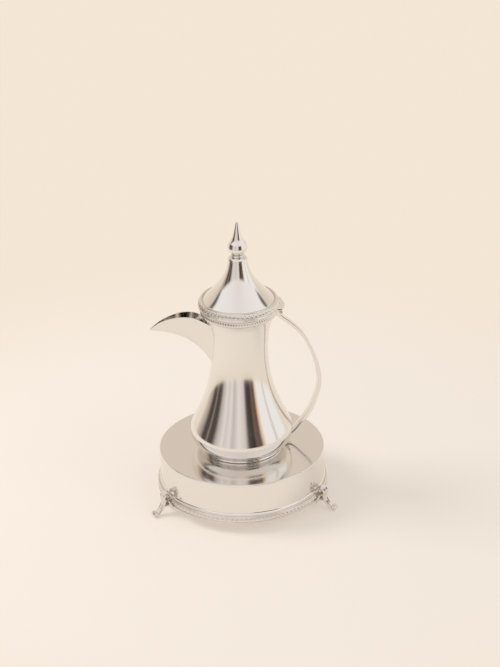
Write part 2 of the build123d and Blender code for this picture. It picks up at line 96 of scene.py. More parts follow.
class Outline:
    """Points of reach and height, in millimetres, added as lines, curves and arcs."""

    def __init__(self, *start):
        self.points = [start]

    def line(self, *points):
        self.points.extend(points)
        return self

    def curve(self, first, second, end, steps=16):
        """Cubic curve with two control points."""
        start = self.points[-1]
        for step in range(1, steps + 1):
            t = step / steps
            weights = ((1 - t) ** 3, 3 * t * (1 - t) ** 2, 3 * t * t * (1 - t), t ** 3)
            corners = (start, first, second, end)
            self.points.append(
                tuple(sum(w * p[axis] for w, p in zip(weights, corners)) for axis in (0, 1))
            )
        return self

    def arc(self, through, end, steps=12):
        """Arc from the last point through one point to the end."""
        (ax, ay), (bx, by), (cx, cy) = self.points[-1], through, end
        d = 2 * (ax * (by - cy) + bx * (cy - ay) + cx * (ay - by))
        a2, b2, c2 = ax * ax + ay * ay, bx * bx + by * by, cx * cx + cy * cy
        ux = (a2 * (by - cy) + b2 * (cy - ay) + c2 * (ay - by)) / d
        uy = (a2 * (cx - bx) + b2 * (ax - cx) + c2 * (bx - ax)) / d
        radius = math.hypot(ax - ux, ay - uy)
        first = math.atan2(ay - uy, ax - ux)
        middle = math.atan2(by - uy, bx - ux)
        last = math.atan2(cy - uy, cx - ux)
        full = 2 * math.pi
        turn = (last - first) % full
        if (middle - first) % full > turn:
            turn -= full
        for step in range(1, steps + 1):
            angle = first + turn * step / steps
            self.points.append((ux + radius * math.cos(angle), uy + radius * math.sin(angle)))
        return self


def on_pot(*points):
    """Points given from the pot's foot, moved to where the pot stands."""
    return [(reach, POT_FOOT + height) for reach, height in points]


def side_of(points, distance):
    """The open outline moved sideways by a distance, to the right of its direction."""
    moved = []
    for index, (x, y) in enumerate(points):
        before = points[max(index - 1, 0)]
        after = points[min(index + 1, len(points) - 1)]
        dx, dy = after[0] - before[0], after[1] - before[1]
        length = math.hypot(dx, dy) or 1.0
        moved.append((x + distance * dy / length, y - distance * dx / length))
    return moved


def sheet_outline(middle, thickness):
    """Closed outline of a sheet that follows its middle line."""
    return side_of(middle, thickness / 2) + side_of(middle, -thickness / 2)[::-1]


def pot_wall():
    """Middle line of the pot's sheet from foot to rim."""
    points = on_pot(
        (BASE_RADIUS, FOOT_RING),
        (BASE_RADIUS, FOOT_RING + FOOT_BAND),
        (BASE_RADIUS + BELLY_TURN * (BELLY_RADIUS - BASE_RADIUS), FOOT_RING + FOOT_BAND + LOW_PULL),
        (BELLY_RADIUS, BELLY_HEIGHT - BELLY_PULL),
        (BELLY_RADIUS, BELLY_HEIGHT),
        (BELLY_RADIUS, BELLY_HEIGHT + WAIST_LOW_PULL),
        (NECK_RADIUS, NECK_HEIGHT - WAIST_HIGH_PULL),
        (NECK_RADIUS, NECK_HEIGHT),
        (NECK_RADIUS, NECK_HEIGHT + NECK_PULL),
        (NECK_RADIUS + MOUTH_TURN * (MOUTH_RADIUS - NECK_RADIUS), FLARE_HEIGHT - FLARE_PULL),
        (MOUTH_RADIUS, FLARE_HEIGHT),
    )
    wall = Outline(*points[0]).line(points[1])
    wall.curve(*points[2:5], steps=24)
    wall.curve(*points[5:8], steps=48)
    wall.curve(*points[8:11], steps=24)
    wall.line((MOUTH_RADIUS, POT_RIM))
    return wall.points


# Meshes

def new_piece(name, vertices, faces, sharp_angle=35.0):
    """Mesh object made from points in millimetres, smooth apart from its sharp edges."""
    mesh = bpy.data.meshes.new(name)
    mesh.from_pydata([Vector(v) * MM for v in vertices], [], faces)
    work = bmesh.new()
    work.from_mesh(mesh)
    bmesh.ops.remove_doubles(work, verts=work.verts, dist=0.002 * MM)
    bmesh.ops.recalc_face_normals(work, faces=work.faces)
    for face in work.faces:
        face.smooth = True
    work.to_mesh(mesh)
    work.free()
    mesh.set_sharp_from_angle(angle=math.radians(sharp_angle))
    piece = bpy.data.objects.new(name, mesh)
    bpy.context.scene.collection.objects.link(piece)
    return piece


def turned(name, outline, segments=SMOOTH_TURNS, relief=None, sharp_angle=35.0):
    """Piece turned about the common axis from a closed outline, with an optional relief on its surface."""
    rows = len(outline)
    normals = []
    for row in range(rows):
        x0, y0 = outline[row - 1]
        x1, y1 = outline[(row + 1) % rows]
        length = math.hypot(x1 - x0, y1 - y0) or 1.0
        normals.append(((y1 - y0) / length, -(x1 - x0) / length))
    vertices = []
    for segment in range(segments):
        angle = 2 * math.pi * segment / segments
        cosine, sine = math.cos(angle), math.sin(angle)
        for row, (reach, height) in enumerate(outline):
            push = relief(angle, row, rows) if relief else 0.0
            out = max(reach + push * normals[row][0], 0.0)
            vertices.append((out * cosine, out * sine, height + push * normals[row][1]))
    faces = []
    for segment in range(segments):
        following = (segment + 1) % segments
        for row in range(rows):
            next_row = (row + 1) % rows
            faces.append(
                (
                    segment * rows + row,
                    following * rows + row,
                    following * rows + next_row,
                    segment * rows + next_row,
                )
            )
    return new_piece(name, vertices, faces, sharp_angle)


def swept(name, rings, sharp_angle=35.0):
    """Piece through a row of rings with as many points each, capped at both ends."""
    count = len(rings[0])
    vertices = [point for one in rings for point in one]
    faces = []
    for index in range(len(rings) - 1):
        for point in range(count):
            following = (point + 1) % count
            faces.append(
                (
                    index * count + point,
                    index * count + following,
                    (index + 1) * count + following,
                    (index + 1) * count + point,
                )
            )
    faces.append(tuple(range(count))[::-1])
    faces.append(tuple((len(rings) - 1) * count + point for point in range(count)))
    return new_piece(name, vertices, faces, sharp_angle)


def smooth_path(points, steps=12):
    """Points of a smooth curve through the given points."""
    path = []
    last = len(points) - 1
    for index in range(last):
        p0 = Vector(points[max(index - 1, 0)])
        p1 = Vector(points[index])
        p2 = Vector(points[index + 1])
        p3 = Vector(points[min(index + 2, last)])
        for step in range(steps):
            t = step / steps
            path.append(
                0.5
                * (
                    2 * p1
                    + (p2 - p0) * t
                    + (2 * p0 - 5 * p1 + 4 * p2 - p3) * t * t
                    + (3 * p1 - p0 - 3 * p2 + p3) * t ** 3
                )
            )
    path.append(Vector(points[last]))
    return path


def rounded_ring(centre, wide, thick, half_width, half_thickness, roundness, steps=3):
    """Ring of points of a rounded rectangle, along two given directions."""
    points = []
    for corner, (sx, sy) in enumerate(((1, 1), (-1, 1), (-1, -1), (1, -1))):
        for step in range(steps + 1):
            angle = math.radians(90 * corner + 90 * step / steps)
            across = sx * (half_width - roundness) + roundness * math.cos(angle)
            along = sy * (half_thickness - roundness) + roundness * math.sin(angle)
            points.append(centre + wide * across + thick * along)
    return points


def oval_ring(centre, wide, thick, half_width, half_thickness, count=16):
    """Ring of points of an oval, along two given directions."""
    return [
        centre
        + wide * (half_width * math.cos(2 * math.pi * k / count))
        + thick * (half_thickness * math.sin(2 * math.pi * k / count))
        for k in range(count)
    ]


def joined(name, *pieces):
    """One object from several, as a cast or soldered piece is."""
    work = bmesh.new()
    for piece in pieces:
        work.from_mesh(piece.data)
        mesh = piece.data
        bpy.data.objects.remove(piece)
        bpy.data.meshes.remove(mesh)
    mesh = bpy.data.meshes.new(name)
    work.to_mesh(mesh)
    work.free()
    whole = bpy.data.objects.new(name, mesh)
    bpy.context.scene.collection.objects.link(whole)
    return whole


def dress(piece, body, material, slot, *nodes):
    """Gives a piece its finish, its body and the nodes that it stands for; the slot is not used."""
    piece.data.materials.clear()
    piece.data.materials.append(material)
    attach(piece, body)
    if nodes:
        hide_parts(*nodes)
    return piece


# Shader maths

class Wire:
    """A shader socket, or a number, on which Python's operators add Math nodes."""

    def __init__(self, tree, socket):
        self.tree = tree
        self.socket = socket

    def node(self, kind, settings=None, **inputs):
        """Any other node: its type, its settings and the values or links of its sockets."""
        made = self.tree.nodes.new(kind)
        for key, value in (settings or {}).items():
            if key == "stops":
                ramp = made.color_ramp
                while len(ramp.elements) < len(value):
                    ramp.elements.new(1.0)
                for element, (place, shade) in zip(ramp.elements, value):
                    element.position = place
                    element.color = shade if len(shade) == 4 else (*shade, 1.0)
            else:
                setattr(made, key, value)
        for key, value in inputs.items():
            name = key.replace("_", " ")
            place = int(name[1:]) if name[0] == "n" and name[1:].isdigit() else name
            if isinstance(value, Wire):
                self.tree.links.new(value.socket, made.inputs[place])
            else:
                made.inputs[place].default_value = value
        return made

    def out(self, made, name=0):
        return Wire(self.tree, made.outputs[name])

    def math(self, operation, *values):
        inputs = {f"n{place}": value for place, value in enumerate(values)}
        return self.out(self.node("ShaderNodeMath", {"operation": operation}, **inputs))

    def __add__(self, other):
        return self.math("ADD", self, other)

    __radd__ = __add__

    def __mul__(self, other):
        return self.math("MULTIPLY", self, other)

    __rmul__ = __mul__

    def __sub__(self, other):
        return self.math("SUBTRACT", self, other)

    def __rsub__(self, other):
        return self.math("SUBTRACT", other, self)

    def mix(self, first, second):
        """Colour between two others, by this socket."""
        made = self.node("ShaderNodeMix", {"data_type": "RGBA"})
        self.tree.links.new(self.socket, made.inputs[0])
        for place, value in ((6, first), (7, second)):
            if isinstance(value, Wire):
                self.tree.links.new(value.socket, made.inputs[place])
            else:
                made.inputs[place].default_value = (*value, 1.0)
        return Wire(self.tree, made.outputs[2])


def new_material(name):
    """Empty material and a wire to its tree."""
    material = bpy.data.materials.new(name)
    material.use_nodes = True
    material.node_tree.nodes.clear()
    return material, Wire(material.node_tree, None)


def place_on_piece(wire):
    """Where a point lies on its piece, in metres of the shared frame."""
    return wire.out(wire.node("ShaderNodeTexCoord"), "Object")


def noise(wire, place, scale, detail=2.0, roughness=0.5):
    made = wire.node("ShaderNodeTexNoise", {}, Vector=place, Scale=scale, Detail=detail, Roughness=roughness)
    return wire.out(made, "Fac")


def bump(wire, height, strength, distance):
    return wire.out(wire.node("ShaderNodeBump", {}, Height=height, Strength=strength, Distance=distance))


def metal_finish(name, wire_setup, colour):
    """Metal whose colour, roughness and relief come from one function."""
    material, wire = new_material(name)
    inputs = wire_setup(wire, tuple(colour))
    shader = wire.node("ShaderNodeBsdfPrincipled", {}, Metallic=1.0, **inputs)
    output = wire.node("ShaderNodeOutputMaterial")
    wire.tree.links.new(shader.outputs[0], output.inputs["Surface"])
    return material


def polished(wire, colour):
    """Mirror polish with faint smudges, hairlines from the cloth and a slight waviness of the sheet."""
    place = place_on_piece(wire)
    smudge = noise(wire, place, 26.0, 3.0, 0.6)
    hairline = noise(wire, place, 900.0, 2.0, 0.7)
    wave = noise(wire, place, 14.0, 1.0)
    tone = smudge.mix(tuple(0.955 * c for c in colour), colour)
    rough = 0.035 + smudge * 0.035 + hairline * 0.02
    normal = bump(wire, wave, 0.10, 0.0006)
    return {"Base_Color": tone, "Roughness": rough, "Normal": normal}


def chased(wire, colour):
    """Chased relief, with a little tarnish and grain that vary at random over it."""
    place = place_on_piece(wire)
    grain = noise(wire, place, 1400.0, 3.0, 0.6)
    tarnish = noise(wire, place, 240.0, 3.0, 0.65)
    tone = tarnish.mix(tuple(0.80 * c * w for c, w in zip(colour, (1.0, 0.96, 0.90))), colour)
    rough = 0.10 + tarnish * 0.10 + grain * 0.05
    normal = bump(wire, grain, 0.35, 0.0002)
    return {"Base_Color": tone, "Roughness": rough, "Normal": normal}


def plated_steel(wire, colour):
    """Plain plated steel with fine turning marks."""
    place = place_on_piece(wire)
    grain = noise(wire, place, 1600.0, 2.0, 0.6)
    tone = grain.mix(tuple(0.85 * c for c in colour), colour)
    rough = 0.24 + grain * 0.14
    return {"Base_Color": tone, "Roughness": rough, "Normal": bump(wire, grain, 0.2, 0.0001)}


# Settings that a user would change

class COFFEEPOT_PG_finish(bpy.types.PropertyGroup):
    """Colours of the metals."""

    silver: FloatVectorProperty(
        name="Silver",
        description="Colour of the polished silver plate",
        subtype="COLOR",
        size=3,
        min=0.0,
        max=1.0,
        default=(0.955, 0.915, 0.872),
    )
    chased_silver: FloatVectorProperty(
        name="Chased silver",
        description="Colour of the silver on borders, feet and hinge",
        subtype="COLOR",
        size=3,
        min=0.0,
        max=1.0,
        default=(0.93, 0.885, 0.835),
    )
    steel: FloatVectorProperty(
        name="Steel",
        description="Colour of screws, stud and nut",
        subtype="COLOR",
        size=3,
        min=0.0,
        max=1.0,
        default=(0.62, 0.61, 0.60),
    )


class COFFEEPOT_PG_ornament(bpy.types.PropertyGroup):
    """How fine the borders' relief is."""

    stand_leaves: IntProperty(
        name="Stand leaves", description="Leaves round the border of the stand", min=40, max=200, default=120
    )
    lid_leaves: IntProperty(
        name="Lid leaves", description="Leaves round the border of the lid", min=20, max=120, default=60
    )
    collar_strands: IntProperty(
        name="Collar strands", description="Twisted strands round the collar", min=30, max=160, default=84
    )
    relief: FloatProperty(
        name="Relief",
        description="Depth of the chased relief",
        subtype="DISTANCE",
        unit="LENGTH",
        min=0.0001,
        max=0.0015,
        default=0.0006,
    )


class COFFEEPOT_PG_studio(bpy.types.PropertyGroup):
    """Floor, light and camera."""

    floor_colour: FloatVectorProperty(
        name="Floor",
        description="Colour of the floor round the stand",
        subtype="COLOR",
        size=3,
        min=0.0,
        max=1.0,
        default=(0.930, 0.847, 0.753),
    )
    far_colour: FloatVectorProperty(
        name="Far floor",
        description="Colour of the floor and of the backdrop in the distance",
        subtype="COLOR",
        size=3,
        min=0.0,
        max=1.0,
        default=(0.905, 0.795, 0.672),
    )
    lens: FloatProperty(
        name="Lens", description="Focal length in millimetres", min=20.0, max=300.0, default=100.0
    )
    pitch: FloatProperty(
        name="Pitch",
        description="How far the camera looks down",
        subtype="ANGLE",
        unit="ROTATION",
        default=math.radians(26.088),
    )
    roll: FloatProperty(
        name="Roll",
        description="How far the camera leans over",
        subtype="ANGLE",
        unit="ROTATION",
        default=math.radians(-1.1276),
    )
    turn: FloatProperty(
        name="Turn",
        description="Angle of the camera round the pot, from square on to the handle's plane",
        subtype="ANGLE",
        unit="ROTATION",
        default=math.radians(-12.0),
    )
    side: FloatProperty(name="Side", description="Camera to the right", unit="LENGTH", default=0.01073)
    back: FloatProperty(name="Back", description="Camera behind the axis", unit="LENGTH", default=1.67408)
    rise: FloatProperty(
        name="Rise", description="Camera above the stand's top", unit="LENGTH", default=0.94657
    )


def silver():
    """The finishes, made once and shared by all pieces."""
    finish = bpy.context.scene.coffeepot_finish
    made = {}
    for key, function, colour in (
        ("polished_silver", polished, finish.silver),
        ("chased_silver", chased, finish.chased_silver),
        ("plated_steel", plated_steel, finish.steel),
    ):
        made[key] = bpy.data.materials.get(key) or metal_finish(key, function, colour)
    return made


# Stand

def leaf_relief(count, depth, first, last):
    """Row of pointed leaves between two rows of the outline, with a vein and a dart between them."""

    def relief(angle, row, rows):
        if not first <= row <= last:
            return 0.0
        up = (row - first) / (last - first)
        across = (angle * count / (2 * math.pi)) % 1.0 - 0.5
        edge = 0.46 * math.sqrt(max(1.0 - up ** 1.6, 0.0))
        inside = max(0.0, 1.0 - (abs(across) / max(edge, 0.02)) ** 2)
        vein = 0.45 * math.exp(-((across / 0.07) ** 2))
        lobes = 0.25 * math.cos(2 * math.pi * (up * 2.5 - abs(across) * 2.0))
        dart = math.exp(-(((abs(across) - 0.5) / 0.09) ** 2)) * min(1.0, 1.6 * up)
        swell = math.sin(math.pi * min(max(up, 0.0), 1.0)) ** 0.5 if 0 < up < 1 else 0.0
        return depth * (swell * (inside ** 0.5 * (0.8 + lobes - vein) + 0.6 * dart) - 0.6)

    return relief


class COFFEEPOT_OT_stand_wall(bpy.types.Operator):
    """Spun wall of the stand with the cove at its foot."""

    bl_idname = "coffeepot.stand_wall"
    bl_label = "Stand Wall"

    def execute(self, context):
        low = BORDER_HIGH
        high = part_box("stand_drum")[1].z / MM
        outline = Outline(DRUM_RADIUS - SHEET, low).line((DRUM_RADIUS - SHEET, high), (DRUM_RADIUS, high))
        outline.line((DRUM_RADIUS, low + 2.5))
        outline.arc((DRUM_RADIUS + 0.5, low + 0.75), (DRUM_RADIUS + 1.6, low))
        wall = turned("stand_wall", outline.points)
        dress(wall, "stand", silver()["polished_silver"], "polished_silver", "stand_drum")
        return {"FINISHED"}


class COFFEEPOT_OT_stand_top(bpy.types.Operator):
    """Polished top plate of the stand with its bright bevel."""

    bl_idname = "coffeepot.stand_top"
    bl_label = "Stand Top"

    def execute(self, context):
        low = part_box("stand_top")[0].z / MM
        bevel = 0.9
        outline = Outline(0.0, low).line((DRUM_RADIUS - 0.1, low), (DRUM_RADIUS, low + 0.1))
        outline.line((DRUM_RADIUS, STAND_TOP - bevel))
        outline.arc(
            (DRUM_RADIUS - 0.26 * bevel, STAND_TOP - 0.26 * bevel), (DRUM_RADIUS - bevel, STAND_TOP), steps=6
        )
        outline.line((DRUM_RADIUS - 2 * bevel, STAND_TOP), (0.0, STAND_TOP))
        plate = turned("stand_top_plate", outline.points)
        dress(plate, "stand", silver()["polished_silver"], "polished_silver", "stand_top")
        return {"FINISHED"}


class COFFEEPOT_OT_stand_border(bpy.types.Operator):
    """Border of the stand: bright upper bead, chased face and a row of small pearls below."""

    bl_idname = "coffeepot.stand_border"
    bl_label = "Stand Border"

    def execute(self, context):
        ornament = context.scene.coffeepot_ornament
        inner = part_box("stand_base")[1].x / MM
        face = BORDER_RADIUS - 0.6
        outline = Outline(inner + 0.2, BORDER_LOW)
        outline.line((face - 0.5, BORDER_LOW))
        outline.arc((BORDER_RADIUS - 0.05, BORDER_LOW + 0.6), (face - 0.05, BORDER_LOW + 1.3), steps=8)
        first = len(outline.points)
        for step in range(17):
            height = BORDER_LOW + 1.4 + 4.6 * step / 16
            outline.line((face + 0.35 * math.sin(math.pi * step / 16), height))
        last = len(outline.points) - 1
        outline.line((face - 0.35, BORDER_LOW + 6.1))
        outline.arc((BORDER_RADIUS - 0.1, BORDER_LOW + 7.2), (face - 0.9, BORDER_LOW + 8.2), steps=8)
        outline.line((DRUM_RADIUS + 1.7, BORDER_LOW + 8.4), (DRUM_RADIUS + 1.5, BORDER_HIGH))
        outline.line((inner + 0.2, BORDER_HIGH))
        depth = ornament.relief / MM
        leaves = leaf_relief(ornament.stand_leaves, depth, first, last)
        pearls = 2 * ornament.stand_leaves

        def relief(angle, row, rows):
            if 2 <= row <= 9:
                return -0.4 * depth * (1 - abs(math.sin(pearls * angle / 2)) ** 0.7)
            return leaves(angle, row, rows)

        border = turned("stand_border_band", outline.points, 16 * ornament.stand_leaves, relief, 60.0)
        dress(border, "stand", silver()["chased_silver"], "chased_silver", "stand_border")
        return {"FINISHED"}


# Feet

class COFFEEPOT_OT_feet(bpy.types.Operator):
    """Three cast scroll feet with side leaves."""

    bl_idname = "coffeepot.feet"
    bl_label = "Feet"

    def execute(self, context):
        for node in ("foot_left", "foot_right", "foot_back"):
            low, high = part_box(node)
            middle = (low + high) / 2
            angle = math.atan2(middle.y, middle.x)
            foot = self.cast_foot(node + "_cast", angle)
            dress(foot, "stand", silver()["chased_silver"], "chased_silver", node)
        return {"FINISHED"}

    def cast_foot(self, name, angle):
        out = Vector((math.cos(angle), math.sin(angle), 0.0))
        side = Vector((-math.sin(angle), math.cos(angle), 0.0))
        up = Vector((0.0, 0.0, 1.0))
        wall = BORDER_RADIUS

        def at(reach, height, across=0.0):
            """Point of the foot, bent round the border where it lies to one side."""
            return out * (reach - across * across / (2 * wall)) + up * height + side * across

        def limb(part, path, widths, thicknesses, flutes=0.0):
            """Cast limb along a path of reach and height, with half widths and half thicknesses along it."""
            centres = smooth_path([at(*point) for point in path], 8)
            rings = []
            count = len(centres)
            for index, centre in enumerate(centres):
                share = index / (count - 1) * (len(widths) - 1)
                low = min(int(share), len(widths) - 2)
                blend = share - low
                width = widths[low] * (1 - blend) + widths[low + 1] * blend
                thick = thicknesses[low] * (1 - blend) + thicknesses[low + 1] * blend
                along = (centres[min(index + 1, count - 1)] - centres[max(index - 1, 0)]).normalized()
                across = along.cross(side).normalized()
                ring_points = []
                for k in range(40):
                    turn = 2 * math.pi * k / 40
                    place = math.copysign(abs(math.cos(turn)) ** 0.75, math.cos(turn))
                    rise = math.copysign(abs(math.sin(turn)) ** 0.8, math.sin(turn))
                    groove = 1.0 - flutes * (0.5 - 0.5 * math.cos(5 * math.pi * place))
                    ring_points.append(centre + side * width * place + across * thick * rise * groove)
                rings.append(ring_points)
            return swept(name + part, rings)

        def petal(part, root, towards, curl, length, width, thick):
            """Small leaf with a midrib, from its root, bending by the curl towards its tip."""
            across = towards.cross(curl).normalized()
            rings = []
            for step in range(10):
                share = step / 9
                centre = root + towards * length * share + curl * share * share
                swell = 0.35 + 0.65 * math.sin(math.pi * min(0.15 + share, 1.0))
                half = width * swell * (1 - share ** 6 * 0.8)
                facing = across.cross(towards).normalized()
                rings.append(
                    [
                        centre
                        + across * half * math.cos(2 * math.pi * k / 16)
                        + facing
                        * thick
                        * (1 - 0.6 * share)
                        * math.sin(2 * math.pi * k / 16)
                        * (1.0 - 0.3 * math.exp(-((math.cos(2 * math.pi * k / 16) / 0.25) ** 2)))
                        for k in range(16)
                    ]
                )
            return swept(name + part, rings)

        pieces = [
            limb(
                "_leg",
                [(wall - 0.4, 22.0), (wall + 2.6, 23.7), (wall + 5.6, 20.6), (wall + 5.3, 14.2),
                 (wall + 8.2, 8.0), (wall + 12.6, 3.6), (wall + 15.6, 1.3)],
                [3.8, 4.5, 4.3, 3.8, 3.4, 3.6, 3.9],
                [1.7, 2.4, 2.5, 2.2, 1.9, 1.6, 1.1],
                0.34,
            )
        ]
        # The toe is a volute wound from the end of the leg, round a roll with a boss at each end
        steps = 20
        spiral = []
        for step in range(steps + 1):
            share = step / steps
            turn = math.radians(-95.0 + 360 * 1.5 * share)
            reach = 2.3 * (1 - 0.8 * share)
            spiral.append((wall + 15.8 + reach * math.cos(turn), 3.2 + reach * math.sin(turn)))
        pieces.append(limb("_toe", spiral, [3.9, 4.0, 4.2, 4.5], [0.8, 0.75, 0.65, 0.6]))
        roll = [(-4.0, 1.6), (-3.6, 2.2), (-2.6, 2.6), (0.0, 2.75), (2.6, 2.6), (3.6, 2.2), (4.0, 1.6)]
        pieces.append(
            swept(
                name + "_roll",
                [oval_ring(at(wall + 15.8, 3.2, place), out, up, size, size, 28) for place, size in roll],
            )
        )
        for hand in (-1, 1):
            aside = side * hand
            # Leaf lobes that curl under the border's lower edge, on one stem
            for lobe, (across, high, length, width) in enumerate(
                ((4.3, 15.0, 6.2, 2.2), (7.2, 14.2, 5.4, 1.9), (9.7, 13.3, 4.2, 1.5))
            ):
                root = at(wall + 1.2, high, hand * across)
                towards = (-up + aside * 0.35 + out * 0.18).normalized()
                pieces.append(petal(f"_leaf{hand}{lobe}", root, towards, -out * 1.2, length, width, 1.3))
            stem = [at(wall + 1.1 - 0.25 * k, 15.2 - 0.9 * k, hand * (2.2 + 2.1 * k)) for k in range(5)]
            pieces.append(
                swept(
                    f"{name}_stem{hand}",
                    [
                        oval_ring(point, up, out, 1.1 - 0.15 * k, 0.9 - 0.12 * k, 14)
                        for k, point in enumerate(stem)
                    ],
                )
            )
            # Crest of leaf tips on the border's top
            for tip, (across, length) in enumerate(((3.2, 3.5), (5.2, 3.0), (7.0, 2.3))):
                root = at(wall - 0.2 - 0.12 * tip, 20.3, hand * across)
                towards = (up + aside * 0.45).normalized()
                pieces.append(petal(f"_crest{hand}{tip}", root, towards, out * 0.8, length, 1.35, 0.95))
        pieces.append(
            swept(
                name + "_tab",
                [
                    rounded_ring(at(reach, BORDER_LOW - 0.8), side, up, 3.6, 0.75, 0.3)
                    for reach in (wall - 18.0, wall + 6.6)
                ],
            )
        )
        return joined(name, *pieces)


# Pot

class COFFEEPOT_OT_pot_body(bpy.types.Operator):
    """Spun body of the pot with its pouring opening, the bottom disc and the ring that it stands on."""

    bl_idname = "coffeepot.pot_body"
    bl_label = "Pot Body"

    def execute(self, context):
        metal = silver()["polished_silver"]
        body = turned("pot_wall", sheet_outline(pot_wall(), SHEET))
        cutter = pour_cutter()
        cut = body.modifiers.new("pour", "BOOLEAN")
        cut.operation = "DIFFERENCE"
        cut.object = cutter
        cut.solver = "EXACT"
        bpy.context.view_layer.update()
        ready = body.evaluated_get(bpy.context.evaluated_depsgraph_get())
        mesh = bpy.data.meshes.new_from_object(ready)
        body.modifiers.clear()
        body.data = mesh
        bpy.data.objects.remove(cutter)
        dress(body, "pot", metal, "polished_silver", "pot_body", "pot_neck")
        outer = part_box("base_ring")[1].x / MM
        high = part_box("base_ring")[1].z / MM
        ring = Outline(outer - 4.6, POT_FOOT).line((outer - 1.0, POT_FOOT))
        ring.arc((outer, (POT_FOOT + high) / 2), (outer - 1.0, high), steps=12)
        ring.line((outer - 4.6, high))
        dress(turned("pot_foot_ring", ring.points), "pot", metal, "polished_silver", "base_ring")
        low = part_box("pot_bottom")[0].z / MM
        edge = BASE_RADIUS - 0.7
        disc = Outline(0.0, low).line((edge, low), (edge, low + 1.0), (0.0, low + 1.0))
        dress(turned("pot_bottom_disc", disc.points), "pot", metal, "polished_silver", "pot_bottom")
        return {"FINISHED"}


class COFFEEPOT_OT_collar(bpy.types.Operator):
    """Twisted collar moulding under the mouth."""

    bl_idname = "coffeepot.collar"
    bl_label = "Collar"

    def execute(self, context):
        ornament = context.scene.coffeepot_ornament
        inner = MOUTH_RADIUS + SHEET / 2
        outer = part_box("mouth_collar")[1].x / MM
        middle = (COLLAR_LOW + COLLAR_HIGH) / 2
        outline = Outline(inner, COLLAR_LOW)
        outline.arc((outer, middle), (inner, COLLAR_HIGH), steps=20)
        strands = ornament.collar_strands
        depth = ornament.relief / MM

        def relief(angle, row, rows):
            if not 2 <= row <= rows - 3:
                return 0.0
            twist = angle * strands / 2 + 2.2 * row / rows
            fade = math.sin(math.pi * (row - 1) / (rows - 3))
            return -1.3 * depth * fade * (1 - abs(math.sin(twist)) ** 0.6)

        collar = turned("collar_twist", outline.points, 14 * strands, relief, 60.0)
        dress(collar, "pot", silver()["chased_silver"], "chased_silver", "mouth_collar")
        return {"FINISHED"}


POUR_TOP = 142.0
SPOUT_STATIONS = (
    (24.0, 89.0, 139.5, 12.4),
    (36.0, 110.0, 147.3, 11.0),
    (46.0, 121.6, 152.6, 9.0),
    (57.0, 130.2, 154.6, 6.9),
    (68.0, 135.5, 153.6, 4.7),
    (80.0, 139.3, 149.8, 2.3),
    (90.5, 141.6, 142.8, 0.5),
)


def spout_point(path, share, across, inset=0.0):
    """Point of the beak: share runs from the tip to the body, across from one lip to the other."""
    place = share * (len(path) - 1)
    low = min(int(place), len(path) - 2)
    blend = place - low
    half_width, keel, lips, reach = (
        path[low][k] * (1 - blend) + path[low + 1][k] * blend for k in range(4)
    )
    rise = abs(across)
    bowed = 0.66 * 4 * rise * (1 - rise) + rise * (2 * rise - 1)
    keel += 2.2 * inset
    width = max(half_width - inset, 0.02) * bowed
    return Vector((-reach, math.copysign(width, across), POT_FOOT + keel + (lips - keel) * rise))


def spout_path():
    """Stations of the beak from the tip to the body, smoothed."""
    stations = [(width, keel, lips, reach) for reach, keel, lips, width in reversed(SPOUT_STATIONS)]
    return smooth_path(stations, 14)


def pour_cutter():
    """Solid that cuts the pouring opening in the pot."""
    path = spout_path()
    rings = []
    for share in (0.80, 0.86, 0.92, 1.0):
        around = [spout_point(path, share, -1 + 2 * k / 24, 1.0) for k in range(25)]
        for point in around:
            point.z = min(point.z, POT_FOOT + POUR_TOP)
        rings.append(around)
    return swept("pour_cutter", rings)


def wall_radius(height):
    """Outer radius of the pot at a height."""
    points = side_of(pot_wall(), SHEET / 2)
    for (r0, z0), (r1, z1) in zip(points, points[1:]):
        if z0 <= height <= z1 and z1 > z0:
            return r0 + (r1 - r0) * (height - z0) / (z1 - z0)
    return points[-1][0]


class COFFEEPOT_OT_spout(bpy.types.Operator):
    """Open crescent beak soldered to the neck."""

    bl_idname = "coffeepot.spout"
    bl_label = "Spout"

    def execute(self, context):
        path = spout_path()
        across_steps = 40
        along_steps = 60
        rings = []
        ends = []
        for k in range(across_steps + 1):
            across = -1 + 2 * k / across_steps
            low, high = 0.0, 1.0
            for _ in range(24):
                middle = (low + high) / 2
                point = spout_point(path, middle, across)
                if math.hypot(point.x, point.y) > wall_radius(point.z) - 0.25:
                    low = middle
                else:
                    high = middle
            ends.append(low)
        for step in range(along_steps + 1):
            share = step / along_steps
            outer = [
                spout_point(path, share * ends[k], -1 + 2 * k / across_steps) for k in range(across_steps + 1)
            ]
            inner = [
                spout_point(path, share * ends[k], -1 + 2 * k / across_steps, min(1.0, 0.25 + 3.0 * share))
                for k in range(across_steps + 1)
            ]
            rings.append(outer + inner[::-1])
        beak = swept("spout_beak", rings, sharp_angle=50.0)
        dress(beak, "pot", silver()["polished_silver"], "polished_silver", "spout")
        return {"FINISHED"}


HANDLE_LINE = (
    (33.0, 150.0),
    (39.5, 145.0),
    (67.0, 116.0),
    (82.4, 71.0),
    (75.2, 37.0),
    (60.5, 15.5),
    (51.5, 6.6),
    (42.0, 5.4),
)


class COFFEEPOT_OT_handle(bpy.types.Operator):
    """Bent strap of the handle with softened edges."""

    bl_idname = "coffeepot.handle"
    bl_label = "Handle"

    def execute(self, context):
        metal = silver()["polished_silver"]
        centres = smooth_path([(reach, 0.0, POT_FOOT + height) for reach, height in HANDLE_LINE], 18)
        side = Vector((0.0, 1.0, 0.0))
        shown = [c for c in centres if c.x > wall_radius(c.z) - 1.0]
        rings = []
        for index, centre in enumerate(shown):
            along = (shown[min(index + 1, len(shown) - 1)] - shown[max(index - 1, 0)]).normalized()
            rings.append(rounded_ring(centre, side, along.cross(side), 4.0, 1.8, 0.45))
        dress(swept("handle_strap", rings), "pot", metal, "polished_silver", "handle")
        return {"FINISHED"}


# Lid

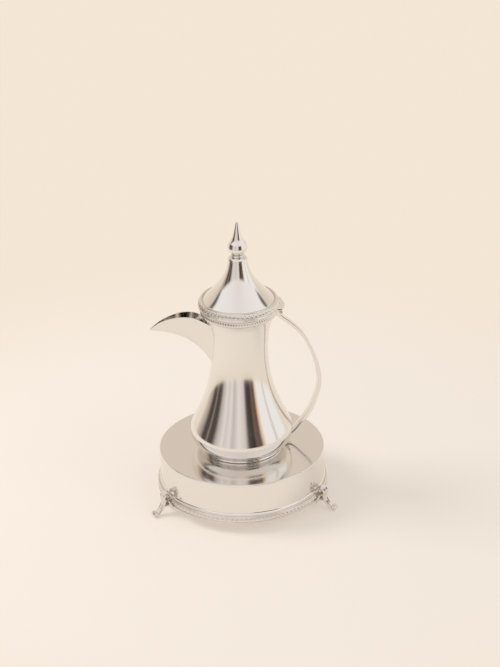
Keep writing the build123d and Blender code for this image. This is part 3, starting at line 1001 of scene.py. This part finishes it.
class COFFEEPOT_OT_lid_cone(bpy.types.Operator):
    """Concave cone of the lid with its seat ring."""

    bl_idname = "coffeepot.lid_cone"
    bl_label = "Lid Cone"

    def execute(self, context):
        metal = silver()["polished_silver"]
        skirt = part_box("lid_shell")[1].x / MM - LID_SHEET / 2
        top = CAP_LOW
        turn = LID_SEAT + 6.6
        line = Outline(skirt, LID_SEAT).line((skirt, turn))
        high_pull = (CONE_TOP_RADIUS + 1.8, top - 21.0)
        line.curve((skirt - 8.0, turn + 9.0), high_pull, (CONE_TOP_RADIUS, top), steps=56)
        cone = turned("lid_cone", sheet_outline(line.points, LID_SHEET))
        dress(cone, "lid", metal, "polished_silver", "lid_shell")
        return {"FINISHED"}


class COFFEEPOT_OT_lid_border(bpy.types.Operator):
    """Border of the lid: chased face with a row of leaf tips along its upper edge."""

    bl_idname = "coffeepot.lid_border"
    bl_label = "Lid Border"

    def execute(self, context):
        ornament = context.scene.coffeepot_ornament
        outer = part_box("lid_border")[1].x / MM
        inner = outer - 4.6
        outline = Outline(inner, LID_SEAT).line((outer - 1.0, LID_SEAT))
        outline.arc((outer - 0.1, LID_SEAT + 0.7), (outer - 0.7, LID_SEAT + 1.4), steps=6)
        first = len(outline.points)
        height = LID_BORDER_HIGH - LID_SEAT
        outline.line((outer - 0.5, LID_SEAT + 1.6))
        outline.curve(
            (outer + 0.15, LID_SEAT + 0.36 * height),
            (outer - 0.7, LID_SEAT + 0.66 * height),
            (outer - 2.2, LID_SEAT + 0.86 * height),
            steps=20,
        )
        last = len(outline.points) - 1
        outline.arc((outer - 3.0, LID_BORDER_HIGH - 0.1), (outer - 4.0, LID_BORDER_HIGH - 0.2), steps=8)
        outline.line((inner, LID_BORDER_HIGH - 0.8))
        depth = ornament.relief / MM
        leaves = leaf_relief(ornament.lid_leaves, 0.9 * depth, first, last)
        band = turned("lid_border_band", outline.points, 20 * ornament.lid_leaves, leaves, 60.0)
        dress(band, "lid", silver()["chased_silver"], "chased_silver", "lid_border")
        return {"FINISHED"}


class COFFEEPOT_OT_finial(bpy.types.Operator):
    """Shoulder cap, bead, ball and spire at the top of the lid."""

    bl_idname = "coffeepot.finial"
    bl_label = "Finial"

    def execute(self, context):
        metal = silver()["polished_silver"]
        cap = Outline(1.5, CAP_LOW).line((9.6, CAP_LOW), (9.9, CAP_LOW + 0.3), (9.9, CAP_LOW + 1.0))
        cap.arc((9.2, CAP_LOW + 2.2), (6.6, CAP_HIGH), steps=16)
        cap.line((1.5, CAP_HIGH))
        dress(turned("lid_cap_dome", cap.points, 128), "lid", metal, "polished_silver", "lid_cap")
        bead = Outline(1.5, CAP_HIGH).line((6.0, CAP_HIGH))
        bead.arc((7.0, (CAP_HIGH + BEAD_HIGH) / 2), (6.0, BEAD_HIGH), steps=14)
        bead.line((1.5, BEAD_HIGH))
        dress(turned("finial_ring", bead.points, 128), "lid", metal, "polished_silver", "finial_bead")
        middle = BEAD_HIGH + 7.1
        ball = Outline(0.0, BEAD_HIGH).line((5.4, BEAD_HIGH))
        ball.curve((10.88, BEAD_HIGH + 3.04), (10.58, middle + 3.04), (7.84, middle + 5.88), steps=28)
        ball.curve((4.70, middle + 10.0), (3.92, middle + 12.74), (1.45, FINIAL_HIGH - 1.1), steps=28)
        ball.arc((1.0, FINIAL_HIGH - 0.35), (0.0, FINIAL_HIGH), steps=8)
        dress(turned("finial_spire", ball.points, 128), "lid", metal, "polished_silver", "finial")
        return {"FINISHED"}


# Hinge and small parts

class COFFEEPOT_OT_hinge(bpy.types.Operator):
    """Cast lug of the lid's half of the hinge."""

    bl_idname = "coffeepot.hinge"
    bl_label = "Hinge"

    def execute(self, context):
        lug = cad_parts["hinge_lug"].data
        lug.materials.clear()
        lug.materials.append(silver()["chased_silver"])
        return {"FINISHED"}


class COFFEEPOT_OT_carried_parts(bpy.types.Operator):
    """Finishes for the pieces whose CAD shape is shown as it is."""

    bl_idname = "coffeepot.carried_parts"
    bl_label = "Carried Parts"

    def execute(self, context):
        metals = silver()
        for node, metal in (
            ("stand_base", "polished_silver"),
            ("handle_foot", "polished_silver"),
            ("hinge_saddle", "polished_silver"),
            ("hinge_pin", "plated_steel"),
            ("lid_flange", "polished_silver"),
            ("finial_stud", "plated_steel"),
            ("finial_nut", "plated_steel"),
            ("foot_screws", "plated_steel"),
        ):
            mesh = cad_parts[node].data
            mesh.materials.clear()
            mesh.materials.append(metals[metal])
        return {"FINISHED"}


# Studio

# Colours of the cards, flags and backdrop that polished silver mirrors
CREAM = (0.80, 0.70, 0.59)
FLAG = (0.085, 0.068, 0.058)
CARD = (0.72, 0.64, 0.60)
STREAK = (0.86, 0.80, 0.77)
WHITE = (0.96, 0.93, 0.90)
TAN = (0.74, 0.64, 0.55)
FLOOR_REACH = 620.0
# Where the floor fades into the world, in metres, and how much of it glows for the rays that see it
FADE_FROM, FADE_TO = 0.28, 0.60
FLOOR_GLOW = 0.45
# Way from the pot to the middle of the cards, and the light that matt surfaces get from all round
CARDS_WAY = (-0.2017, -0.9795)
AMBIENT = (0.58, 0.565, 0.55)
# Ceiling over the cards and the backdrop, by place round the stage and colour
CEILING = (
    (0.180, TAN),
    (0.192, FLAG),
    (0.206, FLAG),
    (0.225, WHITE),
    (0.500, (0.88, 0.81, 0.79)),
    (0.780, WHITE),
    (0.797, FLAG),
    (0.808, FLAG),
    (0.830, TAN),
)
# Cards and flags round the front of the stage
CARDS = (
    (0.165, CREAM),
    (0.215, (0.40, 0.33, 0.28)),
    (0.235, FLAG),
    (0.262, FLAG),
    (0.270, (0.34, 0.28, 0.25)),
    (0.282, FLAG),
    (0.312, FLAG),
    (0.335, (0.55, 0.48, 0.45)),
    (0.375, STREAK),
    (0.390, CARD),
    (0.420, STREAK),
    (0.440, (0.60, 0.53, 0.50)),
    (0.480, STREAK),
    (0.525, CARD),
    (0.545, FLAG),
    (0.580, (0.045, 0.036, 0.032)),
    (0.595, (0.20, 0.12, 0.09)),
    (0.622, FLAG),
    (0.634, (0.80, 0.55, 0.36)),
    (0.655, WHITE),
    (0.715, WHITE),
    (0.728, (0.62, 0.58, 0.55)),
    (0.740, WHITE),
    (0.800, WHITE),
    (0.835, CREAM),
)


class COFFEEPOT_OT_stage(bpy.types.Operator):
    """Pale floor, world, soft lights and the camera."""

    bl_idname = "coffeepot.stage"
    bl_label = "Studio Stage"

    def execute(self, context):
        studio = context.scene.coffeepot_studio
        self.floor(studio)
        self.world(studio)
        self.lights()
        self.camera(studio)
        context.scene.view_settings.view_transform = "Standard"
        return {"FINISHED"}

    def floor(self, studio):
        rings = (0.0, 150.0, 300.0, 450.0, FLOOR_REACH)
        around = 96
        points = [
            (reach * math.cos(2 * math.pi * k / around), reach * math.sin(2 * math.pi * k / around), 0.0)
            for reach in rings
            for k in range(around)
        ]
        faces = [
            (
                row * around + k,
                (row + 1) * around + k,
                (row + 1) * around + (k + 1) % around,
                row * around + (k + 1) % around,
            )
            for row in range(len(rings) - 1)
            for k in range(around)
        ]
        floor = new_piece("floor", points, faces)
        material, wire = new_material("floor_paper")
        seen = self.seen_rays(wire)
        away = wire.node("ShaderNodeVectorMath", {"operation": "LENGTH"}, n0=place_on_piece(wire))
        smooth = {"interpolation_type": "SMOOTHSTEP"}
        reach = wire.out(away, "Value")
        fade = wire.node("ShaderNodeMapRange", smooth, Value=reach, n1=FADE_FROM, n2=FADE_TO)
        edge = wire.out(fade, "Result")
        colour = edge.mix(tuple(studio.floor_colour), tuple(studio.far_colour))
        glow = wire.node("ShaderNodeEmission", {}, Color=colour, Strength=1.0)
        paper = wire.node("ShaderNodeBsdfDiffuse", {}, Color=colour)
        blend = wire.node("ShaderNodeMixShader", {}, n0=seen * (FLOOR_GLOW + edge * (1.0 - FLOOR_GLOW)))
        wire.tree.links.new(paper.outputs[0], blend.inputs[1])
        wire.tree.links.new(glow.outputs[0], blend.inputs[2])
        output = wire.node("ShaderNodeOutputMaterial")
        wire.tree.links.new(blend.outputs[0], output.inputs["Surface"])
        floor.data.materials.append(material)

    def seen_rays(self, wire):
        """1 for the rays that see the background: from the camera, off metal or through glass."""
        rays = wire.node("ShaderNodeLightPath")
        seen = wire.math("MAXIMUM", wire.out(rays, "Is Camera Ray"), wire.out(rays, "Is Glossy Ray"))
        return seen.math("MAXIMUM", seen, wire.out(rays, "Is Transmission Ray"))

    def world(self, studio):
        """Plain soft light; the camera sees a pale colour, and metal the cards and flags round the stage."""
        world = bpy.data.worlds.new("studio")
        bpy.context.scene.world = world
        world.use_nodes = True
        world.node_tree.nodes.clear()
        wire = Wire(world.node_tree, None)
        way = wire.out(wire.node("ShaderNodeTexCoord"), "Generated")
        parts = wire.node("ShaderNodeSeparateXYZ", {}, Vector=way)
        x, y, z = (wire.out(parts, axis) for axis in "XYZ")
        along = x * CARDS_WAY[0] + y * CARDS_WAY[1]
        turn = wire.math("ARCTAN2", y * CARDS_WAY[0] - x * CARDS_WAY[1], along)
        around = turn * (0.5 / math.pi) + 0.5
        cards = wire.out(wire.node("ShaderNodeValToRGB", {"stops": CARDS}, Fac=around), "Color")
        ceiling = wire.out(wire.node("ShaderNodeValToRGB", {"stops": CEILING}, Fac=around), "Color")
        rise = wire.node("ShaderNodeMapRange", {}, Value=z, n1=0.02, n2=0.5)
        backdrop = wire.out(rise, "Result").mix(tuple(studio.far_colour), TAN)
        above = wire.out(wire.node("ShaderNodeMapRange", {}, Value=z, n1=0.42, n2=0.54), "Result")
        front = wire.math("COMPARE", around, 0.5, 0.335)
        mirrored = above.mix(front.mix(backdrop, cards), ceiling)
        rays = wire.node("ShaderNodeLightPath")
        lit = self.seen_rays(wire).mix(AMBIENT, mirrored)
        colour = wire.out(rays, "Is Camera Ray").mix(lit, tuple(studio.far_colour))
        light = wire.node("ShaderNodeBackground", {}, Color=colour, Strength=1.0)
        output = wire.node("ShaderNodeOutputWorld")
        wire.tree.links.new(light.outputs[0], output.inputs["Surface"])

    def lights(self):
        for name, place, size, power in (
            ("soft_left", (-1.5, 0.5, 1.6), (1.0, 1.0), 25.0),
            ("soft_right", (1.2, -1.2, 1.6), (1.4, 1.4), 6.0),
        ):
            lamp = bpy.data.lights.new(name, "AREA")
            lamp.shape = "RECTANGLE"
            lamp.size, lamp.size_y = size
            lamp.energy = power
            light = bpy.data.objects.new(name, lamp)
            light.location = place
            light.visible_glossy = False
            aim = Vector((0.0, 0.0, 0.12)) - Vector(place)
            light.rotation_euler = aim.to_track_quat("-Z", "Y").to_euler()
            bpy.context.scene.collection.objects.link(light)

    def camera(self, studio):
        lens = bpy.data.cameras.new("camera")
        lens.lens = studio.lens
        lens.sensor_width = 36.0
        lens.clip_start = 0.01
        camera = bpy.data.objects.new("camera", lens)
        right = Vector((1.0, 0.0, 0.0))
        forward = Vector((0.0, math.cos(studio.pitch), -math.sin(studio.pitch)))
        up = Vector((0.0, math.sin(studio.pitch), math.cos(studio.pitch)))
        cosine, sine = math.cos(studio.roll), math.sin(studio.roll)
        across = right * cosine + up * sine
        upright = up * cosine - right * sine
        pose = Matrix((across, upright, -forward)).transposed().to_4x4()
        pose.translation = Vector((studio.side, -studio.back, studio.rise + STAND_TOP * MM))
        camera.matrix_world = Matrix.Rotation(studio.turn, 4, "Z") @ pose
        bpy.context.scene.collection.objects.link(camera)
        bpy.context.scene.camera = camera


class COFFEEPOT_PT_pieces(bpy.types.Panel):
    """Lists the pieces and their settings."""

    bl_label = "Coffee Pot"
    bl_idname = "COFFEEPOT_PT_pieces"
    bl_space_type = "VIEW_3D"
    bl_region_type = "UI"
    bl_category = "Coffee Pot"

    def draw(self, context):
        layout = self.layout
        for operator in OPERATORS:
            layout.operator(operator.bl_idname)
        for key in GROUPS:
            group = getattr(context.scene, key)
            for name in group.__annotations__:
                layout.prop(group, name)


OPERATORS = (
    COFFEEPOT_OT_stand_top,
    COFFEEPOT_OT_stand_wall,
    COFFEEPOT_OT_stand_border,
    COFFEEPOT_OT_feet,
    COFFEEPOT_OT_pot_body,
    COFFEEPOT_OT_collar,
    COFFEEPOT_OT_spout,
    COFFEEPOT_OT_handle,
    COFFEEPOT_OT_lid_cone,
    COFFEEPOT_OT_lid_border,
    COFFEEPOT_OT_finial,
    COFFEEPOT_OT_hinge,
    COFFEEPOT_OT_carried_parts,
    COFFEEPOT_OT_stage,
)
GROUPS = {
    "coffeepot_finish": COFFEEPOT_PG_finish,
    "coffeepot_ornament": COFFEEPOT_PG_ornament,
    "coffeepot_studio": COFFEEPOT_PG_studio,
}


def register():
    for kind in (*GROUPS.values(), *OPERATORS, COFFEEPOT_PT_pieces):
        bpy.utils.register_class(kind)
    for name, group in GROUPS.items():
        setattr(bpy.types.Scene, name, PointerProperty(type=group))


def unregister():
    for name in GROUPS:
        delattr(bpy.types.Scene, name)
    for kind in reversed((*GROUPS.values(), *OPERATORS, COFFEEPOT_PT_pieces)):
        bpy.utils.unregister_class(kind)


def main():
    register()
    for operator in OPERATORS:
        family, name = operator.bl_idname.split(".")
        getattr(getattr(bpy.ops, family), name)()


if __name__ == "__main__":
    main()
